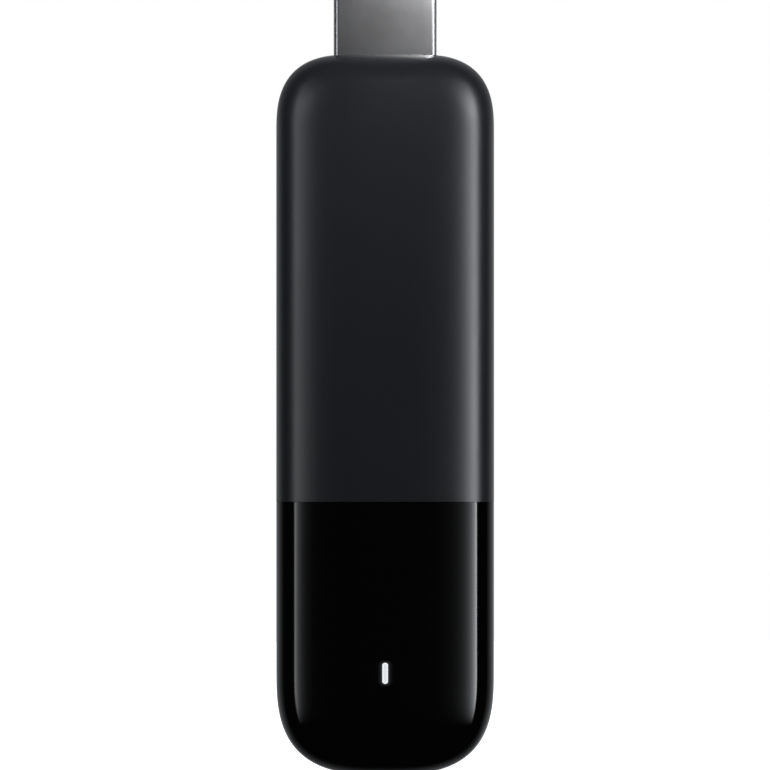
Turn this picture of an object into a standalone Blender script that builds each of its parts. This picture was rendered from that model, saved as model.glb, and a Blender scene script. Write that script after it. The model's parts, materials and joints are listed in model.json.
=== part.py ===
"""A streaming media player that plugs straight into a television: a slim snap-together housing,
the circuit board inside it, and a 19-contact audio-video plug at its top end.

Frame: +Z runs up along the plug, the front face looks along -Y, and the origin is in the middle
of the plug where it leaves the housing. All lengths are in metres.
"""

import math

import bmesh
import bpy
from mathutils import Vector

# Driving dimensions of the housing
BODY_WIDTH = 0.0294
BODY_LENGTH = 0.09728
BODY_DEPTH = 0.0154
WALL = 0.0015
GAP = 0.0003
SNUG = 0.00005

# Outline, seen from the front: superellipse corners at the top and one half superellipse at the bottom
TOP_FLAT = 0.0041
TOP_CORNER = 0.0104
TOP_POWER = 2.72
END_HEIGHT = 0.0141
END_POWER = 2.9
TOP_STEPS = 9
END_STEPS = 11

# Rounding between the flat band round the sides and the two large faces
SIDE_FLAT = 0.0022
ROUND_POWER = 2.6
ROUND_STEPS = 9
TOP_ROUND = 0.005
FRONT_FLAT = 0.1
BACK_FLAT = 0.55

# Joints between the mouldings
PARTING_Y = 0.0022
COLOUR_SPLIT_Z = -0.0604
LIP_OUTER = WALL + GAP
LIP_INNER = LIP_OUTER + 0.0008
LIP_TIP_Y = 0.0002
LIP_ROOT_Y = 0.0034
TONGUE_INNER = LIP_OUTER + 0.0009
TONGUE_TOP_Z = COLOUR_SPLIT_Z + 0.0022
TONGUE_ROOT_Z = COLOUR_SPLIT_Z - 0.0026
TONGUE_RIM_Y = -0.0004
HOOK_HEIGHTS = (-0.022, -0.046, -0.067)
HOOK_LENGTH = 0.0034
HOOK_PROUD = 0.0005
HOOK_LOW_Y = 0.0004
HOOK_HIGH_Y = 0.0011
POST_X = 0.0102
POST_RADIUS = 0.0012
FRONT_POST_HEIGHTS = (-0.013, -0.0545)
BACK_POST_HEIGHTS = (-0.013, -0.0625)

# Plug, a standard size: wide side to the front, slanted corners to the back
PLUG_WIDTH = 0.0139
PLUG_DEPTH = 0.00445
PLUG_SLANT_Y = 0.00045
PLUG_NARROW_HALF = 0.00525
PLUG_CORNER = 0.0007
PLUG_TIP_Z = 0.0115
PLUG_ROOT_Z = -0.0065
PLUG_SHEET = 0.0003
LATCH_X = 0.0030
LATCH_SIZE = (0.0018, 0.0024)
LATCH_Z = 0.0052
SEAM_WIDTH = 0.00012
CARRIER_MARGIN = PLUG_SHEET + 0.00025
CARRIER_WALL = 0.00062
CARRIER_FLOOR_Z = 0.0010
CARRIER_TIP_Z = 0.0109
CONTACT_PITCH = 0.001
CONTACT_WIDTH = 0.0003
CONTACT_SHEET = 0.0002
WIDE_SIDE_CONTACTS = 10
NARROW_SIDE_CONTACTS = 9
COLLAR_SHEET = 0.0003
COLLAR_TOP_Z = -0.0019
COLLAR_LOW_Z = -0.0075
LAND_SIZE = (0.0166, 0.0066)
LAND_DEPTH = 0.0003
LAND_CORNER = 0.0015

# Power inlet in the +X side
PORT_Z = -0.076
PORT_WIDTH = 0.0075
PORT_DEPTH = 0.0026
PORT_MOUTH_X = 0.0142
PORT_REAR_X = 0.0091
PORT_SHEET = 0.00025
PORT_HOLE = (0.0080, 0.0030)
PORT_HOLE_CORNER = 0.0011
PORT_CONTACTS = 5
PORT_CONTACT_PITCH = 0.00065

# Status light
LIGHT_Z = -0.0835
LIGHT_WIDTH = 0.00078
LIGHT_HEIGHT = 0.0028
PILL_ROUNDING = 0.48

# Board and what it carries
BOARD_HALF_WIDTH = 0.0117
BOARD_THICKNESS = 0.001
BOARD_TOP_Z = -0.008
BOARD_END_Z = -0.090
SOLDER_GAP = 0.00005
LID_SHEET = 0.0002
FRAME_SHEET = 0.0003

FRONT = -1
BACK = 1


# ---------------------------------------------------------------- scene, materials and collections


def clear_scene():
    for item in list(bpy.data.objects):
        bpy.data.objects.remove(item)


def new_collection(name):
    collection = bpy.data.collections.new(name)
    bpy.context.scene.collection.children.link(collection)
    return collection


def new_material(name, colour, roughness, metallic=0.0, glow=0.0):
    material = bpy.data.materials.new(name)
    material.use_nodes = True
    shader = material.node_tree.nodes["Principled BSDF"]
    shader.inputs["Base Color"].default_value = (*colour, 1)
    shader.inputs["Roughness"].default_value = roughness
    shader.inputs["Metallic"].default_value = metallic
    shader.inputs["Emission Color"].default_value = (*colour, 1)
    shader.inputs["Emission Strength"].default_value = glow
    return material


def make_materials():
    return {
        "matte_black": new_material("matte_black", (0.017, 0.018, 0.020), 0.5),
        "gloss_black": new_material("gloss_black", (0.004, 0.004, 0.005), 0.06),
        "light_guide": new_material("light_guide", (0.92, 0.94, 0.96), 0.3, glow=1.0),
        "black_rubber": new_material("black_rubber", (0.02, 0.02, 0.02), 0.85),
        "plated_steel": new_material("plated_steel", (0.62, 0.62, 0.63), 0.3, 1.0),
        "shield_steel": new_material("shield_steel", (0.66, 0.66, 0.64), 0.38, 1.0),
        "contact_gold": new_material("contact_gold", (0.85, 0.62, 0.28), 0.28, 1.0),
        "carrier_black": new_material("carrier_black", (0.012, 0.012, 0.013), 0.55),
        "board_green": new_material("board_green", (0.01, 0.07, 0.035), 0.4),
        "chip_black": new_material("chip_black", (0.018, 0.018, 0.019), 0.6),
        "aluminium": new_material("aluminium", (0.78, 0.79, 0.80), 0.42, 1.0),
        "thermal_pad": new_material("thermal_pad", (0.30, 0.38, 0.46), 0.9),
        "ferrite": new_material("ferrite", (0.05, 0.05, 0.055), 0.7),
        "capacitor_tan": new_material("capacitor_tan", (0.62, 0.36, 0.07), 0.5),
        "led_white": new_material("led_white", (0.85, 0.85, 0.78), 0.4),
    }


# ---------------------------------------------------------------- solids


def add_object(name, bm, collection, material=None, smooth=False):
    """Turns bm into an object of its own. A smooth one keeps hard edges where its faces turn sharply."""
    bmesh.ops.recalc_face_normals(bm, faces=bm.faces)
    mesh = bpy.data.meshes.new(name)
    bm.to_mesh(mesh)
    bm.free()
    if smooth:
        mesh.shade_smooth()
        mesh.set_sharp_from_angle(angle=math.radians(32))
    if material:
        mesh.materials.append(material)
    item = bpy.data.objects.new(name, mesh)
    collection.objects.link(item)
    return item


def add_block(bm, low, high, axis=None, radius=0.0, segments=4):
    """Adds a box, with its edges along one axis rounded if there is a radius."""
    made = bmesh.ops.create_cube(bm, size=1)["verts"]
    low = Vector(low)
    high = Vector(high)
    bmesh.ops.scale(bm, vec=high - low, verts=made)
    bmesh.ops.translate(bm, vec=(low + high) / 2, verts=made)
    if radius:
        round_edges(bm, made, axis, radius, segments)


def round_edges(bm, verts, axis, radius, segments):
    """Rounds the edges between verts that run along one axis: 0 is X, 1 is Y and 2 is Z."""
    chosen = []
    for edge in {edge for vert in verts for edge in vert.link_edges}:
        run = edge.verts[1].co - edge.verts[0].co
        if abs(run[axis]) > 0.999 * run.length:
            chosen.append(edge)
    bmesh.ops.bevel(bm, geom=chosen, offset=radius, segments=segments, profile=0.5, affect="EDGES")


def add_prism(bm, points, axis, low, high):
    """Adds a closed outline of points in the two other axes, in X, Y, Z order, drawn out from low to high."""
    starts = []
    for first, second in points:
        place = [first, second]
        place.insert(axis, low)
        starts.append(bm.verts.new(place))
    face = bm.faces.new(starts)
    drawn = bmesh.ops.extrude_face_region(bm, geom=[face])["geom"]
    ends = [item for item in drawn if isinstance(item, bmesh.types.BMVert)]
    shift = Vector((0, 0, 0))
    shift[axis] = high - low
    bmesh.ops.translate(bm, vec=shift, verts=ends)
    return starts + ends


def add_rod(bm, start, end, radius, segments=16):
    """Adds a round post along Y."""
    made = bmesh.ops.create_cone(
        bm,
        cap_ends=True,
        segments=segments,
        radius1=radius,
        radius2=radius,
        depth=abs(end[1] - start[1]),
    )["verts"]
    turn = Vector((0, 0, 1)).rotation_difference(Vector((0, 1, 0))).to_matrix()
    bmesh.ops.rotate(bm, cent=(0, 0, 0), matrix=turn, verts=made)
    bmesh.ops.translate(bm, vec=(Vector(start) + Vector(end)) / 2, verts=made)


def add_leaf(bm, path, sheet, low_x, high_x):
    """Adds a bent strip of sheet metal that follows path, points of Y and Z, and lies between two X."""
    points = [Vector(point) for point in path]
    sides = ([], [])
    for index, point in enumerate(points):
        before = points[max(index - 1, 0)]
        after = points[min(index + 1, len(points) - 1)]
        along = (after - before).normalized()
        across = Vector((-along[1], along[0])) * sheet / 2
        sides[0].append(point + across)
        sides[1].append(point - across)
    add_prism(bm, sides[0] + sides[1][::-1], 0, low_x, high_x)


def use_tool(target, tool, operation):
    modifier = target.modifiers.new(tool.name, "BOOLEAN")
    modifier.object = tool
    modifier.operation = operation
    modifier.solver = "EXACT"


def make_tool(name, bm, tools):
    tool = add_object(name, bm, tools)
    tool.display_type = "WIRE"
    tool.hide_render = True
    return tool


def chamfer(item, width, segments=1):
    modifier = item.modifiers.new("edges", "BEVEL")
    modifier.width = width
    modifier.segments = segments
    modifier.limit_method = "ANGLE"
    modifier.angle_limit = math.radians(40)


def block_part(name, low, high, collection, material, edge=0.0):
    """A plain block with softened edges, such as a chip."""
    bm = bmesh.new()
    add_block(bm, low, high)
    item = add_object(name, bm, collection, material)
    if edge:
        chamfer(item, edge)
    return item


def sheet_box(name, low, high, sheet, open_sides, collection, material):
    """A box of sheet metal, low and high being its outer corners, without the faces that look along open_sides."""
    bm = bmesh.new()
    add_block(bm, low, high)
    bm.normal_update()
    gone = [face for face in bm.faces if any(face.normal.dot(Vector(way)) > 0.9 for way in open_sides)]
    bmesh.ops.delete(bm, geom=gone, context="FACES_ONLY")
    item = add_object(name, bm, collection, material)
    solidify = item.modifiers.new("sheet", "SOLIDIFY")
    solidify.thickness = sheet
    solidify.offset = -1
    solidify.use_even_offset = True
    return item


# ---------------------------------------------------------------- housing


def quarter(steps, power):
    """A quarter superellipse of unit size, from (0, 1) to (1, 0)."""
    points = []
    for step in range(steps + 1):
        angle = math.pi / 2 * step / steps
        points.append((math.sin(angle) ** (2 / power), math.cos(angle) ** (2 / power)))
    return points


def outline(inset, scale=1.0, drop=0.0):
    """The housing's outline as points of X and Z, clockwise from the middle of the top end.

    inset is how far it lies inside the outer one. scale narrows it towards the middle of a face,
    and drop lowers its top end."""
    half = BODY_WIDTH / 2 - inset
    right = [(0.0, -inset - drop)]
    for across, up in quarter(TOP_STEPS, TOP_POWER):
        wide = TOP_FLAT + (half - TOP_FLAT) * across
        high = (TOP_CORNER - inset - drop) * up
        right.append((wide * scale, high - TOP_CORNER))
    end_middle = END_HEIGHT - BODY_LENGTH
    for down, across in quarter(END_STEPS, END_POWER):
        right.append((half * across * scale, end_middle - (END_HEIGHT - inset) * down * scale))
    left = [(-x, z) for x, z in right[-2:0:-1]]
    return right + left


def rounding(start_y, depth, flat):
    """(scale, Y) of each outline between the side band, at start_y, and the flat of a face, at depth."""
    rings = []
    for outward, inward in quarter(ROUND_STEPS, ROUND_POWER):
        rings.append((flat + (1 - flat) * inward, start_y + (depth - start_y) * outward))
    return rings


def ring(inset, y, scale=1.0, drop=0.0):
    """The outline of one level of the housing, as points of X, Y and Z."""
    return [(x, y, z) for x, z in outline(inset, scale, drop)]


def face_rings(side, inset, start_y):
    """The rings of one skin of a half of the housing, from the side band to the flat of its face."""
    flat = FRONT_FLAT if side == FRONT else BACK_FLAT
    rings = []
    for scale, depth in rounding(start_y, BODY_DEPTH / 2 - inset, flat):
        drop = TOP_ROUND * (1 - scale) / (1 - flat)
        rings.append(ring(inset, side * depth, scale, drop))
    return rings


def loft(rings):
    """A solid through rings of the same number of points, closed by the first and the last."""
    bm = bmesh.new()
    loops = [[bm.verts.new(point) for point in points] for points in rings]
    for first, second in zip(loops, loops[1:]):
        for index, vert in enumerate(first):
            after = (index + 1) % len(first)
            bm.faces.new((vert, first[after], second[after], second[index]))
    bm.faces.new(loops[0])
    bm.faces.new(loops[-1])
    return bm


def front_shell(outer, inner, rim_y):
    """The front half of the housing's wall, between two insets, open at rim_y."""
    outside = face_rings(FRONT, outer, SIDE_FLAT)[::-1]
    inside = face_rings(FRONT, inner, SIDE_FLAT)
    return loft(outside + [ring(outer, rim_y), ring(inner, rim_y)] + inside)


def back_shell(rim_y):
    """The back half of the housing's wall, with the lip that reaches forward inside the front half."""
    outside = face_rings(BACK, 0.0, rim_y)[::-1]
    lip = [
        ring(LIP_OUTER, rim_y),
        ring(LIP_OUTER, LIP_TIP_Y),
        ring(LIP_INNER, LIP_TIP_Y),
        ring(LIP_INNER, LIP_ROOT_Y),
    ]
    inside = [points for points in face_rings(BACK, WALL, rim_y) if points[0][1] > LIP_ROOT_Y + GAP]
    return loft(outside + lip + inside)


def make_housing_tools(tools):
    """The cutters that more than one moulding shares."""
    wide = BODY_WIDTH
    made = {}

    bm = bmesh.new()
    half_x = PLUG_WIDTH / 2 + GAP
    half_y = PLUG_DEPTH / 2 + GAP
    add_block(bm, (-half_x, -half_y, -0.004), (half_x, half_y, 0.003), 2, PLUG_CORNER + GAP)
    made["plug_hole"] = make_tool("tool_plug_hole", bm, tools)

    bm = bmesh.new()
    half_x = LAND_SIZE[0] / 2
    half_y = LAND_SIZE[1] / 2
    add_block(bm, (-half_x, -half_y, -LAND_DEPTH), (half_x, half_y, 0.003), 2, LAND_CORNER, 5)
    made["plug_land"] = make_tool("tool_plug_land", bm, tools)

    bm = bmesh.new()
    floor_z = COLOUR_SPLIT_Z + GAP / 2
    add_block(bm, (-wide, -wide, floor_z), (wide, wide, wide))
    made["above_split"] = make_tool("tool_above_split", bm, tools)

    bm = bmesh.new()
    add_block(bm, (-wide, -wide, -BODY_LENGTH - wide), (wide, wide, floor_z - GAP))
    made["below_split"] = make_tool("tool_below_split", bm, tools)

    bm = bmesh.new()
    outer_x = BODY_WIDTH / 2 - LIP_OUTER + HOOK_PROUD + GAP
    half = HOOK_LENGTH / 2 + GAP
    for z in HOOK_HEIGHTS:
        for way in (-1, 1):
            near = way * (BODY_WIDTH / 2 - LIP_OUTER - GAP)
            ends = sorted((near, way * outer_x))
            add_block(bm, (ends[0], HOOK_LOW_Y - GAP, z - half), (ends[1], HOOK_HIGH_Y + GAP, z + half))
    made["hook_pockets"] = make_tool("tool_hook_pockets", bm, tools)
    return made


def make_front_cover(parts, tools, shared, materials):
    bm = front_shell(0.0, WALL, PARTING_Y - GAP / 2)
    cover = add_object("front_cover", bm, parts, materials["matte_black"], smooth=True)
    use_tool(cover, shared["above_split"], "INTERSECT")
    use_tool(cover, shared["hook_pockets"], "DIFFERENCE")

    bm = bmesh.new()
    for z in FRONT_POST_HEIGHTS:
        for way in (-1, 1):
            add_rod(bm, (way * POST_X, -0.0061, z), (way * POST_X, -BOARD_THICKNESS / 2 - GAP, z), POST_RADIUS)
    use_tool(cover, make_tool("tool_front_posts", bm, tools), "UNION")
    use_tool(cover, shared["plug_land"], "DIFFERENCE")
    use_tool(cover, shared["plug_hole"], "DIFFERENCE")
    return cover


def make_front_cap(parts, tools, shared, materials):
    """The gloss lower moulding, with a tongue that reaches up behind the cover's edge."""
    bm = front_shell(0.0, WALL, PARTING_Y - GAP / 2)
    cap = add_object("front_cap", bm, parts, materials["gloss_black"], smooth=True)
    use_tool(cap, shared["below_split"], "INTERSECT")
    use_tool(cap, shared["hook_pockets"], "DIFFERENCE")

    wide = BODY_WIDTH
    for name, outer, top_z in (
        ("tongue", LIP_OUTER, TONGUE_TOP_Z),
        ("tongue_root", WALL - GAP, COLOUR_SPLIT_Z - GAP / 2 - GAP),
    ):
        bm = front_shell(outer, TONGUE_INNER, TONGUE_RIM_Y)
        tongue = make_tool("tool_" + name, bm, tools)
        bm = bmesh.new()
        add_block(bm, (-wide, -wide, TONGUE_ROOT_Z), (wide, wide, top_z))
        use_tool(tongue, make_tool("tool_" + name + "_limits", bm, tools), "INTERSECT")
        use_tool(cap, tongue, "UNION")

    bm = bmesh.new()
    half_x = LIGHT_WIDTH / 2 + GAP
    half_z = LIGHT_HEIGHT / 2 + GAP
    low = (-half_x, -BODY_DEPTH, LIGHT_Z - half_z)
    high = (half_x, -BODY_DEPTH / 4, LIGHT_Z + half_z)
    add_block(bm, low, high, 1, half_x * 2 * PILL_ROUNDING, 5)
    use_tool(cap, make_tool("tool_light_hole", bm, tools), "DIFFERENCE")

    bm = bmesh.new()
    half_z = PORT_HOLE[0] / 2
    half_y = PORT_HOLE[1] / 2
    low = (BODY_WIDTH / 2 - 3 * WALL, -half_y, PORT_Z - half_z)
    high = (BODY_WIDTH / 2 + WALL, half_y, PORT_Z + half_z)
    add_block(bm, low, high, 0, PORT_HOLE_CORNER, 5)
    use_tool(cap, make_tool("tool_port_hole", bm, tools), "DIFFERENCE")
    return cap


def make_back_cover(parts, tools, shared, materials):
    """The rear moulding: its lip reaches up inside the front mouldings and carries the snap hooks."""
    bm = back_shell(PARTING_Y + GAP / 2)
    cover = add_object("back_cover", bm, parts, materials["matte_black"], smooth=True)

    bm = bmesh.new()
    add_block(bm, (-0.0085, -LIP_ROOT_Y, -0.0095), (0.0085, LIP_ROOT_Y, -WALL))
    half_z = PORT_WIDTH / 2 + GAP
    add_block(bm, (0.0085, -0.002, PORT_Z - half_z), (0.0139, PORT_DEPTH / 2 + GAP, PORT_Z + half_z))
    use_tool(cover, make_tool("tool_lip_gaps", bm, tools), "DIFFERENCE")

    bm = bmesh.new()
    outer_x = BODY_WIDTH / 2 - LIP_OUTER + HOOK_PROUD
    half = HOOK_LENGTH / 2
    for z in HOOK_HEIGHTS:
        for way in (-1, 1):
            ends = sorted((way * (BODY_WIDTH / 2 - LIP_OUTER - GAP), way * outer_x))
            add_block(bm, (ends[0], HOOK_LOW_Y, z - half), (ends[1], HOOK_HIGH_Y, z + half))
    use_tool(cover, make_tool("tool_hooks", bm, tools), "UNION")

    bm = bmesh.new()
    for z in BACK_POST_HEIGHTS:
        for way in (-1, 1):
            add_rod(bm, (way * POST_X, BOARD_THICKNESS / 2 + GAP, z), (way * POST_X, 0.0067, z), POST_RADIUS)
    use_tool(cover, make_tool("tool_back_posts", bm, tools), "UNION")
    use_tool(cover, shared["plug_land"], "DIFFERENCE")
    use_tool(cover, shared["plug_hole"], "DIFFERENCE")
    return cover


# ---------------------------------------------------------------- plug


def add_plug_prism(bm, margin, low_z, high_z):
    """Adds a prism of the plug's outline, margin inside its outer one."""
    half = PLUG_WIDTH / 2
    deep = PLUG_DEPTH / 2
    slant = Vector((deep - PLUG_SLANT_Y, half - PLUG_NARROW_HALF)).normalized()
    reach = slant[0] * half + slant[1] * PLUG_SLANT_Y - margin
    half -= margin
    deep -= margin
    corner = (half, (reach - slant[0] * half) / slant[1])
    narrow = ((reach - slant[1] * deep) / slant[0], deep)
    right = [(half, -deep), corner, narrow]
    left = [(-x, y) for x, y in reversed(right)]
    verts = add_prism(bm, right + left, 2, low_z, high_z)
    round_edges(bm, verts, 2, max(PLUG_CORNER - margin, PLUG_CORNER / 4), 4)


def make_plug_shell(parts, tools, materials):
    bm = bmesh.new()
    add_plug_prism(bm, 0.0, PLUG_ROOT_Z, PLUG_TIP_Z)
    shell = add_object("plug_shell", bm, parts, materials["plated_steel"])
    bm = bmesh.new()
    add_plug_prism(bm, PLUG_SHEET, PLUG_ROOT_Z - PLUG_SHEET, PLUG_TIP_Z + PLUG_SHEET)
    use_tool(shell, make_tool("tool_plug_bore", bm, tools), "DIFFERENCE")

    bm = bmesh.new()
    half_x = LATCH_SIZE[0] / 2
    half_z = LATCH_SIZE[1] / 2
    for way in (-1, 1):
        x = way * LATCH_X
        low = (x - half_x, PLUG_DEPTH / 4, LATCH_Z - half_z)
        high = (x + half_x, PLUG_DEPTH, LATCH_Z + half_z)
        add_block(bm, low, high, 1, half_x / 4, 2)
    half_x = SEAM_WIDTH / 2
    add_block(bm, (-half_x, PLUG_DEPTH / 4, 2 * PLUG_ROOT_Z), (half_x, PLUG_DEPTH, 2 * PLUG_TIP_Z))
    use_tool(shell, make_tool("tool_plug_windows", bm, tools), "DIFFERENCE")


def contact_places():
    """(name number, X, side) of each plug contact, the wide side's first."""
    places = []
    for side, count in ((FRONT, WIDE_SIDE_CONTACTS), (BACK, NARROW_SIDE_CONTACTS)):
        for index in range(count):
            places.append((len(places) + 1, (index - (count - 1) / 2) * CONTACT_PITCH, side))
    return places


def contact_line():
    """How far from the middle plane the contacts run along the carrier's inner walls."""
    return PLUG_DEPTH / 2 - CARRIER_MARGIN - CARRIER_WALL - SNUG - CONTACT_SHEET / 2


def make_plug_insulator(parts, tools, materials):
    bm = bmesh.new()
    add_plug_prism(bm, CARRIER_MARGIN, PLUG_ROOT_Z + GAP, CARRIER_TIP_Z)
    carrier = add_object("plug_insulator", bm, parts, materials["carrier_black"])
    bm = bmesh.new()
    add_plug_prism(bm, CARRIER_MARGIN + CARRIER_WALL, CARRIER_FLOOR_Z, PLUG_TIP_Z)
    use_tool(carrier, make_tool("tool_carrier_mouth", bm, tools), "DIFFERENCE")

    bm = bmesh.new()
    half_x = CONTACT_WIDTH / 2 + SNUG
    half_y = CONTACT_SHEET / 2 + SNUG
    for _, x, side in contact_places():
        y = side * contact_line()
        low = (x - half_x, y - half_y, 2 * PLUG_ROOT_Z)
        add_block(bm, low, (x + half_x, y + half_y, CARRIER_FLOOR_Z + GAP))
    use_tool(carrier, make_tool("tool_contact_slots", bm, tools), "DIFFERENCE")


def make_plug_contacts(parts, materials):
    line = contact_line()
    tail = BOARD_THICKNESS / 2 + SOLDER_GAP + CONTACT_SHEET / 2
    path = [
        (tail, BOARD_TOP_Z - 0.0014),
        (tail, BOARD_TOP_Z + 0.0003),
        (line, PLUG_ROOT_Z - 0.0002),
        (line, 0.0065),
        (line - 0.0003, 0.0082),
        (line, 0.0099),
    ]
    for number, x, side in contact_places():
        bm = bmesh.new()
        points = [(side * y, z) for y, z in path]
        add_leaf(bm, points, CONTACT_SHEET, x - CONTACT_WIDTH / 2, x + CONTACT_WIDTH / 2)
        add_object(f"plug_contact_{number:02d}", bm, parts, materials["contact_gold"])


def make_plug_collar(parts, materials):
    """The grounding collar round the root of the plug, open at both ends."""
    half_x = PLUG_WIDTH / 2 + GAP + COLLAR_SHEET
    half_y = PLUG_DEPTH / 2 + GAP + COLLAR_SHEET
    low = (-half_x, -half_y, COLLAR_LOW_Z)
    high = (half_x, half_y, COLLAR_TOP_Z)
    ends = ((0, 0, 1), (0, 0, -1))
    sheet_box("plug_collar", low, high, COLLAR_SHEET, ends, parts, materials["shield_steel"])


# ---------------------------------------------------------------- power inlet


def add_port_prism(bm, margin, low_x, high_x):
    """Adds a prism of the inlet's outline, with its two slanted corners to the back."""
    half = PORT_WIDTH / 2 - margin
    deep = PORT_DEPTH / 2 - margin
    cut = 0.0009
    points = [
        (-deep, half),
        (-deep, -half),
        (deep - cut, -half),
        (deep, cut - half),
        (deep, half - cut),
        (deep - cut, half),
    ]
    verts = add_prism(bm, [(y, PORT_Z + z) for y, z in points], 0, low_x, high_x)
    round_edges(bm, verts, 0, 0.0003, 2)


def make_port(parts, tools, materials):
    bm = bmesh.new()
    add_port_prism(bm, 0.0, PORT_REAR_X, PORT_MOUTH_X)
    shell = add_object("port_shell", bm, parts, materials["plated_steel"])
    bm = bmesh.new()
    add_port_prism(bm, PORT_SHEET, PORT_REAR_X + PORT_SHEET, PORT_MOUTH_X + PORT_SHEET)
    use_tool(shell, make_tool("tool_port_bore", bm, tools), "DIFFERENCE")

    base_x = PORT_REAR_X + 2 * PORT_SHEET
    bm = bmesh.new()
    add_block(bm, (base_x, -0.00045, PORT_Z - 0.0018), (PORT_MOUTH_X - 0.0008, 0.00015, PORT_Z + 0.0018))
    tongue = add_object("port_tongue", bm, parts, materials["carrier_black"])
    bm = bmesh.new()
    add_block(bm, (base_x, -0.0008, PORT_Z - 0.0021), (base_x + 0.0009, 0.0006, PORT_Z + 0.0021))
    use_tool(tongue, make_tool("tool_tongue_base", bm, tools), "UNION")

    for number in range(PORT_CONTACTS):
        z = PORT_Z + (number - (PORT_CONTACTS - 1) / 2) * PORT_CONTACT_PITCH
        low = (base_x + 0.0012, 0.0002, z - 0.00012)
        high = (PORT_MOUTH_X - 0.0010, 0.00035, z + 0.00012)
        block_part(f"port_contact_{number + 1}", low, high, parts, materials["contact_gold"])


# ---------------------------------------------------------------- status light


def add_pill(bm, width, height, low_y, high_y, segments=5):
    low = (-width / 2, low_y, LIGHT_Z - height / 2)
    high = (width / 2, high_y, LIGHT_Z + height / 2)
    add_block(bm, low, high, 1, width * PILL_ROUNDING, segments)


def make_status_light(parts, tools, materials):
    board_y = -BOARD_THICKNESS / 2
    face_y = -BODY_DEPTH / 2
    under_wall = face_y + WALL + GAP
    bm = bmesh.new()
    add_pill(bm, LIGHT_WIDTH, LIGHT_HEIGHT, face_y, board_y - 0.0010)
    pipe = add_object("light_pipe", bm, parts, materials["light_guide"])
    bm = bmesh.new()
    add_pill(bm, 0.0024, 0.0046, under_wall, under_wall + 0.0006)
    use_tool(pipe, make_tool("tool_pipe_flange", bm, tools), "UNION")

    bm = bmesh.new()
    add_pill(bm, 0.0036, 0.0058, under_wall + 0.0009, board_y - GAP)
    shroud = add_object("light_shroud", bm, parts, materials["black_rubber"])
    bm = bmesh.new()
    add_pill(bm, LIGHT_WIDTH + 2 * GAP, LIGHT_HEIGHT + 2 * GAP, face_y, 0)
    use_tool(shroud, make_tool("tool_shroud_bore", bm, tools), "DIFFERENCE")

    low = (-0.0004, board_y - 0.0006, LIGHT_Z - 0.0008)
    high = (0.0004, board_y - SOLDER_GAP, LIGHT_Z + 0.0008)
    block_part("status_led", low, high, parts, materials["led_white"], 0.0001)


# ---------------------------------------------------------------- board and what it carries


def make_board(parts, tools, materials):
    bm = bmesh.new()
    half = BOARD_THICKNESS / 2
    low = (-BOARD_HALF_WIDTH, -half, BOARD_END_Z)
    high = (BOARD_HALF_WIDTH, half, BOARD_TOP_Z)
    add_block(bm, low, high)
    for is_end, radius in ((True, 0.005), (False, 0.002)):
        corners = [vert for vert in bm.verts if (vert.co.z < (BOARD_END_Z + BOARD_TOP_Z) / 2) == is_end]
        round_edges(bm, corners, 1, radius, 5)
    board = add_object("main_board", bm, parts, materials["board_green"])

    bm = bmesh.new()
    half_z = PORT_WIDTH / 2 + GAP
    low = (PORT_REAR_X - GAP, -BOARD_THICKNESS, PORT_Z - half_z)
    add_block(bm, low, (BODY_WIDTH / 2, BOARD_THICKNESS, PORT_Z + half_z))
    for way in (-1, 1):
        add_rod(bm, (way * 0.0100, -BOARD_THICKNESS, -0.0850), (way * 0.0100, BOARD_THICKNESS, -0.0850), 0.0008)
    use_tool(board, make_tool("tool_board_cuts", bm, tools), "DIFFERENCE")


def mounted(side, low_height, high_height, x_range, z_range):
    """Corners of a block on one side of the board, between two heights above its surface."""
    surface = BOARD_THICKNESS / 2
    near, far = side * (surface + low_height), side * (surface + high_height)
    low = (x_range[0], min(near, far), z_range[0])
    high = (x_range[1], max(near, far), z_range[1])
    return low, high


def make_chips(parts, materials):
    chips = (
        ("processor", FRONT, 0.0012, (-0.0070, 0.0070), (-0.0330, -0.0190), "chip_black"),
        ("memory_chip_1", FRONT, 0.0010, (-0.0096, -0.0006), (-0.0485, -0.0355), "chip_black"),
        ("memory_chip_2", FRONT, 0.0010, (0.0006, 0.0096), (-0.0485, -0.0355), "chip_black"),
        ("storage_chip", BACK, 0.0010, (-0.0058, 0.0058), (-0.0465, -0.0335), "chip_black"),
        ("power_chip", BACK, 0.0009, (-0.0030, 0.0030), (-0.0565, -0.0505), "chip_black"),
        ("clock_crystal", FRONT, 0.0008, (-0.0016, 0.0016), (-0.0560, -0.0535), "shield_steel"),
        ("power_coil_1", FRONT, 0.0019, (-0.0096, -0.0056), (-0.0720, -0.0680), "ferrite"),
        ("power_coil_2", FRONT, 0.0019, (-0.0046, -0.0006), (-0.0720, -0.0680), "ferrite"),
        ("capacitor_1", FRONT, 0.0018, (0.0030, 0.0065), (-0.0708, -0.0680), "capacitor_tan"),
        ("capacitor_2", FRONT, 0.0018, (0.0030, 0.0065), (-0.0748, -0.0720), "capacitor_tan"),
        ("wireless_module", BACK, 0.0019, (-0.0065, 0.0065), (-0.0770, -0.0640), "shield_steel"),
    )
    for name, side, height, x_range, z_range, material in chips:
        low, high = mounted(side, SOLDER_GAP, height, x_range, z_range)
        block_part(name, low, high, parts, materials[material], 0.00012)


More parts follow.
